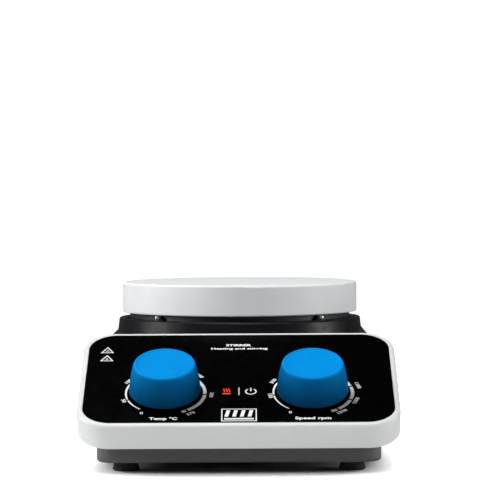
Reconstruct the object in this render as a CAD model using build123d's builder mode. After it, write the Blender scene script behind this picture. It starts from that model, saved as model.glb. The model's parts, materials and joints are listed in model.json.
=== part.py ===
"""Heated magnetic stirrer: a round ceramic-coated hot plate over a spinning drive magnet.

Millimetres, +Z up. The origin is the middle of the footprint on the bench, the control panel faces -Y and the
mains inlet faces +Y. The stirring axis is vertical, a little behind the origin.
"""

import os
from math import cos, radians, sin

from build123d import *

os.makedirs("parts", exist_ok=True)

# Overall sizes
HEIGHT = 93.5  # bench to the top of the hot plate
PLATE_R = 67.5
STIR_Y = 22.5  # the stirring axis, behind the middle of the footprint
WALL = 2.5

# Body: a grey base tray under a dark housing, with a round neck under the plate
HOUSING_W = 149.4
BASE_W = 147.8
BODY_FRONT = -127.0
BODY_BACK = 136.8
REARMOST = 139.6  # screw heads and fuse drawer stand this far back
BODY_R = 12.0
BASE_Z = 5.3
PARTING_Z = 26.0
DECK_Z = 62.5
NECK_TOP_Z = 73.3
NECK_R = 70.7
NECK_DRAFT = 7.0
FLANGE_T = 3.0
MAGNET_WELL_R = 38.0

# Control panel: a slab tilted towards the user
TILT = 26.4
PANEL_Y = -97.6
PANEL_Z = 47.2
BEZEL_W = 167.0
BEZEL_L = 95.1
BEZEL_T = 14.2
BEZEL_R = 17.2
BEZEL_FLOOR = 3.0
OVERLAY_T = 1.0
OVERLAY_W = 161.4
OVERLAY_L = 89.6
OVERLAY_R = 15.0
KNOB_X = 38.4
KNOB_V = -15.3  # up the panel's slope from its middle
ICON_V = -14.1
HEAT_ICON_X = -6.25
POWER_KEY_X = 6.6
BEZEL_SCREW_X = 69.0
BEZEL_SCREW_V = (0.0, 34.0)
BOARD_SCREW_X = 58.0
BOARD_SCREW_V = (-30.0, 22.0)
CONTROL_BOARD_V = -4.0
BOARD_T = 1.6
CONTROL_BOARD_N = -11.3  # underside of the control board, below the panel face

# Heated stack, from the plate down
PLATE_SKIRT = 17.2
PLATE_T = 8.0
SKIRT_T = 3.0
COIL_R = 44.0
COIL_TUBE_R = 3.2
COIL_LEG_X = 8.0
PAN_R = 63.3
PAN_T = 1.0
STANDOFF_RING_R = 52.0
STANDOFF_R = 4.5
STANDOFF_START = 30.0
TAB_RING_R = 65.3
TAB_START = 46.0
SENSOR_WELL_R = 14.0

# Drive
SHAFT_R = 3.0
RUNNING_GAP = 0.03
MOTOR_R = 28.0
MOTOR_BOTTOM_Z = 16.5
MOTOR_TOP_Z = 46.5
BRACKET_T = 2.0
BRACKET_HALF = 37.0
BOSS_BOTTOM_Z = 50.0
BEARING_R = 9.5
BEARING_H = 6.0
LOWER_BEARING_Z = 18.5
UPPER_BEARING_Z = 38.5
CORE_Z = 25.5
CORE_H = 12.0
HUB_Z = 55.5
YOKE_Z = 63.5
MAGNET_Z = 66.5
MAGNET_H = 5.0

# Electronics and the back wall
MAIN_BOARD_Z = 14.0
MAIN_BOARD_Y = 98.0
MAIN_BOARD_HOLES = (100.0, 52.0)
BACK_ROW_Z = 43.5  # height of the middle of every socket in the back wall
INLET_X = -35.0
ROCKER_X = 8.0
ROCKER_PIVOT_Y = 132.1
ROCKER_TILT = 9.0
PROBE_X = 32.0
ROD_X = 56.0
ROD_Y = 114.0
CASE_SCREW_X = 68.0
CASE_SCREW_Y = (-75.0, 100.0)
FOOT_X = 59.0
FOOT_Y = (-110.0, 118.0)

# Sizes that follow from the ones above
BODY_LENGTH = BODY_BACK - BODY_FRONT
BODY_MID_Y = (BODY_BACK + BODY_FRONT) / 2
FLOOR_Z = BASE_Z + WALL
SKIRT_Z = HEIGHT - PLATE_SKIRT
PLATE_UNDER_Z = HEIGHT - PLATE_T
COIL_Z = PLATE_UNDER_Z - COIL_TUBE_R
CLAMP_Z = COIL_Z - COIL_TUBE_R - 1.5
PAN_TOP_Z = NECK_TOP_Z + PAN_T
BRACKET_Z = MOTOR_TOP_Z
BOARD_TOP_Z = MAIN_BOARD_Z + BOARD_T
BACK_INNER = BODY_BACK - WALL
SLOPE = (sin(radians(TILT)), cos(radians(TILT)))
SLOPE_DOWN = (SLOPE[0], -SLOPE[1])  # y and z of the direction into the panel

panel = Plane(origin=(0, PANEL_Y, PANEL_Z), x_dir=(1, 0, 0), z_dir=(0, -SLOPE[0], SLOPE[1]))
stir = Plane(origin=(0, STIR_Y, 0), z_dir=(0, 0, 1))
panel_axis = Axis(panel.origin, panel.z_dir)
knob_spots = [(-KNOB_X, KNOB_V), (KNOB_X, KNOB_V)]
bezel_screw_spots = [(x, v) for x in (-BEZEL_SCREW_X, BEZEL_SCREW_X) for v in BEZEL_SCREW_V]
board_screw_spots = [(x, v) for x in (-BOARD_SCREW_X, BOARD_SCREW_X) for v in BOARD_SCREW_V]
case_screw_spots = [(x, y) for x in (-CASE_SCREW_X, CASE_SCREW_X) for y in CASE_SCREW_Y]
foot_spots = [(x, y) for x in (-FOOT_X, FOOT_X) for y in FOOT_Y]
bracket_spots = [(x, y) for x in (-BRACKET_HALF, BRACKET_HALF) for y in (-BRACKET_HALF, BRACKET_HALF)]


def save(piece, name):
    """Labels a finished piece and writes its STEP file."""
    piece.part.label = name
    export_step(piece.part, f"parts/{name}.step")


def pin(plane, spots, radius, low, high, mode=Mode.ADD):
    """Round bars or holes at spots on a plane, from low to high above it."""
    with BuildSketch(plane.offset(low)) as rounds:
        with Locations(*spots):
            Circle(radius)
    extrude(rounds.sketch, amount=high - low, mode=mode)


def slab(plane, size, radius, low, high, centre=(0, 0), mode=Mode.ADD):
    """A rounded rectangular block or pocket on a plane, from low to high above it."""
    with BuildSketch(plane.offset(low)) as outline:
        with Locations(centre):
            RectangleRounded(size[0], size[1], radius)
    extrude(outline.sketch, amount=high - low, mode=mode)


def screws(plane, spots, head_r, head_h, shank_r, seat, length):
    """Pan-head screws whose heads sit below seat and whose shanks rise above it."""
    pin(plane, spots, head_r, seat - head_h, seat)
    pin(plane, spots, shank_r, seat, seat + length)


def wire(points, radius, start, end):
    """A round insulated wire through the points, leaving and arriving along the given directions."""
    with BuildLine() as path:
        Spline(*points, tangents=[start, end])
    with BuildSketch(Plane(origin=path.line @ 0, z_dir=path.line % 0)) as section:
        Circle(radius)
    sweep(section.sketch, path=path.line)


def polar(radius, angle):
    """A point on a circle round the stirring axis, in the stir plane's own coordinates."""
    return (radius * cos(radians(angle)), radius * sin(radians(angle)))


standoff_spots = [polar(STANDOFF_RING_R, STANDOFF_START + 120 * i) for i in range(3)]
tab_spots = [polar(TAB_RING_R, a) for a in (TAB_START, 180 - TAB_START, 180 + TAB_START, -TAB_START)]
coil_leg_y = (COIL_R**2 - COIL_LEG_X**2) ** 0.5
leg_spots = [(-COIL_LEG_X, coil_leg_y), (COIL_LEG_X, coil_leg_y)]

# The space the tilted panel takes out of the body, with a little room behind it
with BuildPart() as panel_space:
    with BuildSketch(panel.offset(-BEZEL_T)):
        with Locations((0, BEZEL_L / 2 + 0.3)):
            Rectangle(2 * BEZEL_W, 2 * BEZEL_L, align=(Align.CENTER, Align.MAX))
    extrude(amount=5 * BEZEL_T)

# ---------------------------------------------------------------- body

with BuildPart() as base_tray:
    slab(Plane.XY, (BASE_W, BODY_LENGTH - 2), BODY_R - 1, BASE_Z, PARTING_Z, (0, BODY_MID_Y))
    fillet(base_tray.faces().sort_by(Axis.Z)[0].edges(), 2.0)
    add(panel_space.part, mode=Mode.SUBTRACT)
    inside = (BASE_W - 2 * WALL, BODY_LENGTH - 2 - 2 * WALL)
    slab(Plane.XY, inside, BODY_R - 1 - WALL, FLOOR_Z, PARTING_Z, (0, BODY_MID_Y), Mode.SUBTRACT)
    # screw pillars at the sides, and short pillars under the main board
    pin(Plane.XY, case_screw_spots, 4.5, BASE_Z + 1, PARTING_Z)
    with BuildSketch(Plane.XY.offset(FLOOR_Z)):
        with Locations((0, MAIN_BOARD_Y)):
            with GridLocations(*MAIN_BOARD_HOLES, 2, 2):
                Circle(3.5)
                Circle(1.25, mode=Mode.SUBTRACT)
    extrude(amount=MAIN_BOARD_Z - FLOOR_Z)
    pin(Plane.XY, case_screw_spots, 3.6, BASE_Z, 18.5, Mode.SUBTRACT)
    pin(Plane.XY, case_screw_spots, 1.8, BASE_Z, PARTING_Z, Mode.SUBTRACT)
    # seats for the rubber feet, and cooling slots under the board and the panel
    pin(Plane.XY, foot_spots, 7.0, BASE_Z, BASE_Z + 0.8, Mode.SUBTRACT)
    pin(Plane.XY, foot_spots, 2.5, BASE_Z, FLOOR_Z, Mode.SUBTRACT)
    with BuildSketch(Plane.XY.offset(BASE_Z)):
        for y in (-78.0, 84.0):
            with Locations((0, y)):
                with GridLocations(42, 8, 2, 5):
                    SlotOverall(34, 3)
    extrude(amount=WALL, mode=Mode.SUBTRACT)
save(base_tray, "base_tray")

with BuildPart() as upper_housing:
    slab(Plane.XY, (HOUSING_W, BODY_LENGTH), BODY_R, PARTING_Z, DECK_Z, (0, BODY_MID_Y))
    with BuildSketch(stir.offset(DECK_Z)):
        Circle(NECK_R)
    extrude(amount=NECK_TOP_Z - DECK_Z, taper=NECK_DRAFT)
    fillet(upper_housing.faces().sort_by(Axis.Z)[-1].edges(), 1.2)
    neck_foot = [e for e in upper_housing.edges().filter_by(GeomType.CIRCLE) if abs(e.radius - NECK_R) < 0.01]
    fillet(neck_foot, 2.4)
    at_deck = upper_housing.faces().filter_by(lambda f: abs(f.center().Z - DECK_Z) < 0.01)
    deck = at_deck.sort_by(SortBy.AREA)[-1]
    fillet(deck.outer_wire().edges(), 1.2)
    # hollow inside, leaving the walls, the deck and the flange round the magnet well
    inside = (HOUSING_W - 2 * WALL, BODY_LENGTH - 2 * WALL)
    slab(Plane.XY, inside, BODY_R - WALL, PARTING_Z, DECK_Z - WALL, (0, BODY_MID_Y), Mode.SUBTRACT)
    pin(stir, [(0, 0)], NECK_R - WALL - 1, PARTING_Z, NECK_TOP_Z - FLANGE_T, Mode.SUBTRACT)
    pin(stir, [(0, 0)], MAGNET_WELL_R, PARTING_Z, NECK_TOP_Z, Mode.SUBTRACT)
    # groove for the neck seal, and holes for the plate screws, shield screws and heater legs
    with BuildSketch(stir.offset(NECK_TOP_Z)):
        Circle(61.0)
        Circle(58.0, mode=Mode.SUBTRACT)
    extrude(amount=-1.0, mode=Mode.SUBTRACT)
    pin(stir, standoff_spots, 2.2, NECK_TOP_Z - FLANGE_T, NECK_TOP_Z, Mode.SUBTRACT)
    pin(stir, leg_spots, COIL_TUBE_R + 1.3, NECK_TOP_Z - FLANGE_T, NECK_TOP_Z, Mode.SUBTRACT)
    pin(stir, tab_spots, 1.1, NECK_TOP_Z - FLANGE_T, NECK_TOP_Z, Mode.SUBTRACT)
    # pillars for the motor bracket and for the case screws
    pin(stir, bracket_spots, 4.5, BOSS_BOTTOM_Z, NECK_TOP_Z - FLANGE_T)
    pin(stir, bracket_spots, 1.8, BOSS_BOTTOM_Z, BOSS_BOTTOM_Z + 11, Mode.SUBTRACT)
    pin(Plane.XY, case_screw_spots, 4.5, PARTING_Z, DECK_Z - WALL)
    pin(Plane.XY, case_screw_spots, 1.8, PARTING_Z, PARTING_Z + 12, Mode.SUBTRACT)
    # side rails that the panel module is screwed to
    with BuildSketch(panel.offset(-BEZEL_T - WALL)):
        with Locations((-68.5, 18), (68.5, 18)):
            Rectangle(8, 44)
    extrude(amount=WALL)
    add(panel_space.part, mode=Mode.SUBTRACT)
    pin(panel, bezel_screw_spots, 1.6, -BEZEL_T - WALL, -BEZEL_T, Mode.SUBTRACT)
    # collar that holds the support-rod socket
    pin(Plane.XY, [(ROD_X, ROD_Y)], 11.0, 32.0, DECK_Z - WALL)
    pin(Plane.XY, [(ROD_X, ROD_Y)], 8.02, 32.0, DECK_Z, Mode.SUBTRACT)
    # openings in the back wall
    with BuildSketch(Plane(origin=(0, BODY_BACK, BACK_ROW_Z), x_dir=(-1, 0, 0), z_dir=(0, 1, 0))):
        with Locations((-INLET_X, 0)):
            Rectangle(27.2, 30.2)
        with Locations((-INLET_X - 20, 0), (-INLET_X + 20, 0)):
            Circle(1.6)
        with Locations((-ROCKER_X, 0)):
            Rectangle(13.0, 19.4)
        with Locations((-PROBE_X, 0)):
            Circle(7.6)
    extrude(amount=-WALL, mode=Mode.SUBTRACT)
save(upper_housing, "upper_housing")

with BuildPart() as rubber_feet:
    for x, y in foot_spots:
        with BuildSketch(Plane(origin=(x, y, 0), x_dir=(1, 0, 0), z_dir=(0, -1, 0))):
            with BuildLine():
                Polyline((0, 0), (6.2, 0), (7.0, 0.8), (6.0, BASE_Z))
                Polyline((6.0, BASE_Z), (6.0, BASE_Z + 0.8), (2.4, BASE_Z + 0.8))
                Polyline((2.4, BASE_Z + 0.8), (2.4, FLOOR_Z + 1), (0, FLOOR_Z + 1), (0, 0))
            make_face()
        revolve(axis=Axis((x, y, 0), (0, 0, 1)))
save(rubber_feet, "rubber_feet")

with BuildPart() as case_screws:
    screws(Plane.XY, case_screw_spots, 3.3, 2.6, 1.75, 18.5, 18.5)
    for x, y in case_screw_spots:
        slab(Plane.XY, (4.0, 0.8), 0.3, 15.9, 16.9, (x, y), Mode.SUBTRACT)
save(case_screws, "case_screws")

# ---------------------------------------------------------------- control panel

with BuildPart() as panel_bezel:
    slab(panel, (BEZEL_W, BEZEL_L), BEZEL_R, -BEZEL_T, 0)
    fillet(panel_bezel.faces().sort_by(panel_axis)[-1].edges(), 1.75)
    fillet(panel_bezel.faces().sort_by(panel_axis)[0].edges(), 0.7)
    hollow = (BEZEL_W - 2 * WALL, BEZEL_L - 2 * WALL)
    slab(panel, hollow, BEZEL_R - WALL, -BEZEL_T, -BEZEL_FLOOR, mode=Mode.SUBTRACT)
    slab(panel, (OVERLAY_W, OVERLAY_L), OVERLAY_R, -OVERLAY_T, 0, mode=Mode.SUBTRACT)
    # screw pillars for the back plate and the control board
    pin(panel, bezel_screw_spots, 3.2, -BEZEL_T + 2.0, -BEZEL_FLOOR)
    pin(panel, bezel_screw_spots, 1.52, -BEZEL_T + 2.0, -BEZEL_FLOOR - 1, Mode.SUBTRACT)
    pin(panel, board_screw_spots, 3.0, CONTROL_BOARD_N + BOARD_T, -BEZEL_FLOOR)
    pin(panel, board_screw_spots, 1.22, CONTROL_BOARD_N + BOARD_T, -BEZEL_FLOOR - 1, Mode.SUBTRACT)
    # holes for the potentiometer bushes, the power key and the light pipe
    pin(panel, knob_spots, 3.6, -BEZEL_FLOOR, 0, Mode.SUBTRACT)
    pin(panel, [(POWER_KEY_X, ICON_V)], 4.7, -BEZEL_FLOOR, 0, Mode.SUBTRACT)
    slab(panel, (7.0, 8.0), 0.8, -BEZEL_FLOOR, 0, (HEAT_ICON_X, ICON_V), Mode.SUBTRACT)
save(panel_bezel, "panel_bezel")

with BuildPart() as panel_overlay:
    slab(panel, (OVERLAY_W - 0.3, OVERLAY_L - 0.3), OVERLAY_R - 0.15, -OVERLAY_T, -0.05)
    pin(panel, knob_spots, 7.2, -OVERLAY_T, 0, Mode.SUBTRACT)
    fillet(panel_overlay.faces().sort_by(panel_axis)[-1].outer_wire().edges(), 0.2)
save(panel_overlay, "panel_overlay")

with BuildPart() as panel_backplate:
    fit_inside = (BEZEL_W - 2 * WALL - 0.3, BEZEL_L - 2 * WALL - 0.3)
    slab(panel, fit_inside, BEZEL_R - WALL - 0.15, -BEZEL_T, -BEZEL_T + 2.0)
    slab(panel, (128, 64), 5, -BEZEL_T, 0, (0, CONTROL_BOARD_V), Mode.SUBTRACT)
    pin(panel, bezel_screw_spots, 1.6, -BEZEL_T, 0, Mode.SUBTRACT)
save(panel_backplate, "panel_backplate")

with BuildPart() as bezel_screws:
    screws(panel, bezel_screw_spots, 2.7, 2.2, 1.5, -BEZEL_T - WALL, 9.0)
save(bezel_screws, "bezel_screws")

with BuildPart() as control_board:
    top = CONTROL_BOARD_N + BOARD_T
    slab(panel, (124, 62), 2, CONTROL_BOARD_N, top, (0, CONTROL_BOARD_V))
    pin(panel, board_screw_spots, 1.3, CONTROL_BOARD_N, top, Mode.SUBTRACT)
    # processor, drivers, the light under the heat symbol and the socket for the ribbon cable
    slab(panel, (12, 12), 0.5, top, top + 1.5, (0, 14))
    slab(panel, (6, 5), 0.4, top, top + 1.5, (-22, 12))
    slab(panel, (6, 5), 0.4, top, top + 1.5, (22, 12))
    slab(panel, (3, 3), 0.3, top, top + 0.7, (HEAT_ICON_X, ICON_V))
    slab(panel, (20, 6), 0.5, CONTROL_BOARD_N - 5, CONTROL_BOARD_N, (0, 18))
    # push switch under the power key
    slab(panel, (6, 6), 0.5, top, -6.8, (POWER_KEY_X, ICON_V))
    pin(panel, [(POWER_KEY_X, ICON_V)], 1.7, -6.8, -6.1)
save(control_board, "control_board")

with BuildPart() as potentiometers:
    pin(panel, knob_spots, 8.5, CONTROL_BOARD_N + BOARD_T + 0.2, -BEZEL_FLOOR)
    pin(panel, knob_spots, 3.5, -BEZEL_FLOOR, 2.5)
    pin(panel, knob_spots, SHAFT_R + RUNNING_GAP, -8.7, 2.5, Mode.SUBTRACT)
    for x, v in knob_spots:
        slab(panel, (12, 3), 0.3, -9.2, -5.0, (x, v - 9.3))
save(potentiometers, "potentiometers")

with BuildPart() as bush_nuts:
    with BuildSketch(panel.offset(-OVERLAY_T)):
        with Locations(*knob_spots):
            RegularPolygon(5.7, 6)
            Circle(3.52, mode=Mode.SUBTRACT)
    extrude(amount=2.0)
save(bush_nuts, "bush_nuts")


def knob(x):
    """A tapered knob with a soft edge, a hub for the shaft and a pointer groove on its uphill side."""
    face = Plane(origin=panel.from_local_coords((x, KNOB_V, 0)), x_dir=panel.x_dir, z_dir=panel.z_dir)
    upright = Plane(origin=face.origin, x_dir=face.x_dir, z_dir=-face.y_dir)
    with BuildPart() as made:
        with BuildSketch(upright):
            with BuildLine():
                Line((0, 17.4), (13.5, 17.4))
                Spline((13.5, 17.4), (14.6, 17.8), (16.1, 16.6), tangents=[(1, 0), (0.3, -1)])
                Spline((16.1, 16.6), (17.7, 9.5), (18.7, 1.9), tangents=[(0.3, -1), (0.1, -1)])
                Polyline((18.7, 1.9), (18.2, 1.2), (16.8, 1.2), (14.2, 15.2), (5.6, 15.2))
                Polyline((5.6, 15.2), (5.6, 3.2), (0, 3.2), (0, 17.4))
            make_face()
        revolve(axis=Axis(face.origin, face.z_dir))
        with BuildSketch(face.offset(3.2)):
            Circle(SHAFT_R + 0.01)
            with Locations((0, SHAFT_R - 1)):
                Rectangle(2 * SHAFT_R, 2, align=(Align.CENTER, Align.MIN), mode=Mode.SUBTRACT)
        extrude(amount=10.2, mode=Mode.SUBTRACT)
        uphill = Plane(origin=face.origin, x_dir=face.y_dir, z_dir=face.x_dir)
        with BuildSketch(uphill):
            with BuildLine():
                Polyline((18.0, 1.0), (19.5, 1.0), (19.5, 14.6), (15.5, 14.6), close=True)
            make_face()
        extrude(amount=0.9, both=True, mode=Mode.SUBTRACT)
    return made


def knob_shaft(x):
    """A potentiometer shaft with a flat where the knob grips it."""
    face = Plane(origin=panel.from_local_coords((x, KNOB_V, 0)), x_dir=panel.x_dir, z_dir=panel.z_dir)
    with BuildPart() as made:
        pin(face, [(0, 0)], SHAFT_R, -8.5, 13.2)
        slab(face, (4 * SHAFT_R, 4), 0.2, 3.2, 13.2, (0, SHAFT_R + 1), Mode.SUBTRACT)
    return made


temp_knob = knob(-KNOB_X)
save(temp_knob, "temp_knob")
temp_shaft = knob_shaft(-KNOB_X)
save(temp_shaft, "temp_shaft")
speed_knob = knob(KNOB_X)
save(speed_knob, "speed_knob")
speed_shaft = knob_shaft(KNOB_X)
save(speed_shaft, "speed_shaft")

with BuildPart() as power_key:
    key_spot = [(POWER_KEY_X, ICON_V)]
    pin(panel, key_spot, 4.5, -BEZEL_FLOOR - 0.05, -OVERLAY_T - 0.1)
    pin(panel, key_spot, 5.8, -4.4, -BEZEL_FLOOR - 0.05)
    pin(panel, key_spot, 1.6, -5.6, -4.4)
save(power_key, "power_key")

with BuildPart() as status_light_pipe:
    slab(panel, (6.6, 7.6), 0.6, -8.8, -OVERLAY_T - 0.05, (HEAT_ICON_X, ICON_V))
save(status_light_pipe, "status_light_pipe")

# ---------------------------------------------------------------- heated plate

with BuildPart() as hot_plate:
    pin(stir, [(0, 0)], PLATE_R, SKIRT_Z, HEIGHT)
    fillet(hot_plate.faces().sort_by(Axis.Z)[-1].edges(), 1.3)
    fillet(hot_plate.faces().sort_by(Axis.Z)[0].edges(), 0.8)
    pin(stir, [(0, 0)], PLATE_R - SKIRT_T, SKIRT_Z, PLATE_UNDER_Z, Mode.SUBTRACT)
    pin(stir, standoff_spots, 2.05, PLATE_UNDER_Z, PLATE_UNDER_Z + 5, Mode.SUBTRACT)
save(hot_plate, "hot_plate")

with BuildPart() as heating_coil:
    half_gap = 12.0
    with BuildLine(stir.offset(COIL_Z)) as ring:
        CenterArc((0, 0), COIL_R, 90 + half_gap, 360 - 2 * half_gap)
    with BuildSketch(Plane(origin=ring.line @ 0, z_dir=ring.line % 0)):
        Circle(COIL_TUBE_R)
    sweep(path=ring.line)
    for x, y in (polar(COIL_R, 90 - half_gap), polar(COIL_R, 90 + half_gap)):
        with Locations((x, y + STIR_Y, COIL_Z)):
            Sphere(COIL_TUBE_R)
        pin(stir, [(x, y)], COIL_TUBE_R, 72.0, COIL_Z)
        pin(stir, [(x, y)], 1.5, 66.0, 72.0)
save(heating_coil, "heating_coil")

with BuildPart() as coil_clamp_plate:
    pin(stir, [(0, 0)], 58.0, CLAMP_Z, CLAMP_Z + 1.5)
    pin(stir, [(0, 0)], SENSOR_WELL_R, CLAMP_Z, CLAMP_Z + 1.5, Mode.SUBTRACT)
    pin(stir, standoff_spots, STANDOFF_R + 0.5, CLAMP_Z, CLAMP_Z + 1.5, Mode.SUBTRACT)
    pin(stir, leg_spots, COIL_TUBE_R + 1.3, CLAMP_Z, CLAMP_Z + 1.5, Mode.SUBTRACT)
save(coil_clamp_plate, "coil_clamp_plate")

with BuildPart() as insulation_disc:
    pin(stir, [(0, 0)], 60.0, PAN_TOP_Z, CLAMP_Z)
    pin(stir, [(0, 0)], SENSOR_WELL_R, PAN_TOP_Z, CLAMP_Z, Mode.SUBTRACT)
    pin(stir, standoff_spots, STANDOFF_R + 0.5, PAN_TOP_Z, CLAMP_Z, Mode.SUBTRACT)
    pin(stir, leg_spots, COIL_TUBE_R + 1.3, PAN_TOP_Z, CLAMP_Z, Mode.SUBTRACT)
save(insulation_disc, "insulation_disc")

with BuildPart() as heat_shield:
    pin(stir, [(0, 0)], PAN_R, NECK_TOP_Z, 84.0)
    pin(stir, [(0, 0)], PAN_R - PAN_T, PAN_TOP_Z, 84.0, Mode.SUBTRACT)
    for x, y in tab_spots:
        slab(stir, (7.0, 7.0), 2.5, NECK_TOP_Z, PAN_TOP_Z, (x * 0.97, y * 0.97))
    pin(stir, [(0, 0)], PAN_R - PAN_T, PAN_TOP_Z, 84.0, Mode.SUBTRACT)
    pin(stir, tab_spots, 1.1, NECK_TOP_Z, PAN_TOP_Z, Mode.SUBTRACT)
    pin(stir, standoff_spots, 2.2, NECK_TOP_Z, PAN_TOP_Z, Mode.SUBTRACT)
    pin(stir, leg_spots, COIL_TUBE_R + 1.3, NECK_TOP_Z, PAN_TOP_Z, Mode.SUBTRACT)
save(heat_shield, "heat_shield")

with BuildPart() as neck_seal:
    with BuildSketch(stir.offset(NECK_TOP_Z - 1.0)):
        Circle(60.9)
        Circle(58.1, mode=Mode.SUBTRACT)
    extrude(amount=1.0)
save(neck_seal, "neck_seal")

with BuildPart() as plate_standoffs:
    with BuildSketch(stir.offset(PAN_TOP_Z)):
        with Locations(*standoff_spots):
            RegularPolygon(STANDOFF_R, 6)
    extrude(amount=PLATE_UNDER_Z - PAN_TOP_Z)
    pin(stir, standoff_spots, 2.0, PLATE_UNDER_Z, PLATE_UNDER_Z + 4.5)
    pin(stir, standoff_spots, 2.05, PAN_TOP_Z, PAN_TOP_Z + 8.0, Mode.SUBTRACT)
save(plate_standoffs, "plate_standoffs")

with BuildPart() as plate_screws:
    screws(stir, standoff_spots, 3.5, 2.6, 2.0, NECK_TOP_Z - FLANGE_T, 11.0)
save(plate_screws, "plate_screws")

with BuildPart() as shield_screws:
    pin(stir, tab_spots, 1.0, 68.5, PAN_TOP_Z)
    pin(stir, tab_spots, 1.9, PAN_TOP_Z, PAN_TOP_Z + 1.5)
    fillet(shield_screws.faces().filter_by(lambda f: f.center().Z > PAN_TOP_Z + 1.4).edges(), 0.6)
save(shield_screws, "shield_screws")

with BuildPart() as plate_probe:
    pin(stir, [(9.0, 0)], 2.5, 77.0, PLATE_UNDER_Z)
    pin(stir, [(9.0, 0)], 3.3, 79.0, 80.5)
save(plate_probe, "plate_probe")

with BuildPart() as thermal_cutout:
    pin(stir, [(-4.0, 0)], 8.0, 80.0, PLATE_UNDER_Z)
    slab(stir, (6.3, 0.8), 0.2, 75.5, 80.0, (-4.0, 4.5))
    slab(stir, (6.3, 0.8), 0.2, 75.5, 80.0, (-4.0, -4.5))
save(thermal_cutout, "thermal_cutout")

# ---------------------------------------------------------------- drive

with BuildPart() as motor_can:
    pin(stir, [(0, 0)], MOTOR_R, MOTOR_BOTTOM_Z, MOTOR_TOP_Z - 2)
    fillet(motor_can.faces().sort_by(Axis.Z)[0].edges(), 1.5)
    pin(stir, [(0, 0)], MOTOR_R - 1, LOWER_BEARING_Z, MOTOR_TOP_Z - 2, Mode.SUBTRACT)
    pin(stir, [(0, 0)], BEARING_R + 2, LOWER_BEARING_Z, LOWER_BEARING_Z + BEARING_H)
    pin(stir, [(0, 0)], BEARING_R, LOWER_BEARING_Z, LOWER_BEARING_Z + BEARING_H, Mode.SUBTRACT)
save(motor_can, "motor_can")

with BuildPart() as motor_end_cap:
    pin(stir, [(0, 0)], MOTOR_R, MOTOR_TOP_Z - 2, MOTOR_TOP_Z)
    pin(stir, [(0, 0)], MOTOR_R - 1.05, MOTOR_TOP_Z - 4, MOTOR_TOP_Z - 2)
    pin(stir, [(0, 0)], BEARING_R + 2, UPPER_BEARING_Z, MOTOR_TOP_Z - 4)
    pin(stir, [(0, 0)], BEARING_R, UPPER_BEARING_Z, UPPER_BEARING_Z + BEARING_H, Mode.SUBTRACT)
    pin(stir, [(0, 0)], 5.0, UPPER_BEARING_Z, MOTOR_TOP_Z, Mode.SUBTRACT)
    with BuildSketch(stir.offset(MOTOR_TOP_Z - 2)):
        with PolarLocations(18.0, 3, 90):
            Circle(1.25)
    extrude(amount=2, mode=Mode.SUBTRACT)
save(motor_end_cap, "motor_end_cap")

with BuildPart() as motor_bearings:
    for z in (LOWER_BEARING_Z, UPPER_BEARING_Z):
        with BuildSketch(stir.offset(z)):
            Circle(BEARING_R)
            Circle(SHAFT_R + RUNNING_GAP, mode=Mode.SUBTRACT)
        extrude(amount=BEARING_H)
        for face_z, depth in ((z, 0.5), (z + BEARING_H, -0.5)):
            with BuildSketch(stir.offset(face_z)):
                Circle(7.8)
                Circle(4.6, mode=Mode.SUBTRACT)
            extrude(amount=depth, mode=Mode.SUBTRACT)
save(motor_bearings, "motor_bearings")

with BuildPart() as stator_core:
    with BuildSketch(stir.offset(CORE_Z)):
        Circle(MOTOR_R - 1.1)
        Circle(22.5, mode=Mode.SUBTRACT)
        with PolarLocations(18.5, 6):
            Rectangle(9.5, 4.6)
        with PolarLocations(14.6, 6):
            Rectangle(2.4, 10.5)
        Circle(13.1, mode=Mode.SUBTRACT)
    extrude(amount=CORE_H)
save(stator_core, "stator_core")

with BuildPart() as stator_coils:
    with BuildSketch(stir.offset(CORE_Z - 1.8)):
        with PolarLocations(19.1, 6):
            RectangleRounded(5.6, 9.4, 1.0)
    extrude(amount=CORE_H + 3.6)
    with BuildSketch(stir.offset(CORE_Z - 0.05)):
        with PolarLocations(19.1, 6):
            Rectangle(8.0, 4.7)
    extrude(amount=CORE_H + 0.1, mode=Mode.SUBTRACT)
save(stator_coils, "stator_coils")

with BuildPart() as motor_bracket:
    side = 2 * BRACKET_HALF + 14
    slab(stir, (side, side), 8, BRACKET_Z, BRACKET_Z + BRACKET_T)
    pin(stir, [(0, 0)], 12.0, BRACKET_Z, BRACKET_Z + BRACKET_T, Mode.SUBTRACT)
    pin(stir, bracket_spots, 4.6, BRACKET_Z, BRACKET_Z + BRACKET_T, Mode.SUBTRACT)
    with BuildSketch(stir.offset(BRACKET_Z)):
        with PolarLocations(18.0, 3, 90):
            Circle(1.5)
        with PolarLocations(37.0, 4):
            SlotOverall(26, 8, rotation=90)
    extrude(amount=BRACKET_T, mode=Mode.SUBTRACT)
save(motor_bracket, "motor_bracket")

with BuildPart() as bracket_grommets:
    pin(stir, bracket_spots, 6.5, 44.0, BRACKET_Z - 0.05)
    pin(stir, bracket_spots, 4.5, BRACKET_Z - 0.05, BRACKET_Z + BRACKET_T + 0.05)
    pin(stir, bracket_spots, 6.5, BRACKET_Z + BRACKET_T + 0.05, BOSS_BOTTOM_Z)
    pin(stir, bracket_spots, 1.9, 44.0, BOSS_BOTTOM_Z, Mode.SUBTRACT)
save(bracket_grommets, "bracket_grommets")

with BuildPart() as bracket_screws:
    screws(stir, bracket_spots, 4.2, 2.4, 1.75, 44.0, 16.0)
    with BuildSketch(stir.offset(BRACKET_Z - 2)):
        with PolarLocations(18.0, 3, 90):
            Circle(1.2)
    extrude(amount=2 + BRACKET_T)
    with BuildSketch(stir.offset(BRACKET_Z + BRACKET_T)):
        with PolarLocations(18.0, 3, 90):
            Circle(2.3)
    extrude(amount=1.6)
save(bracket_screws, "bracket_screws")

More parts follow.
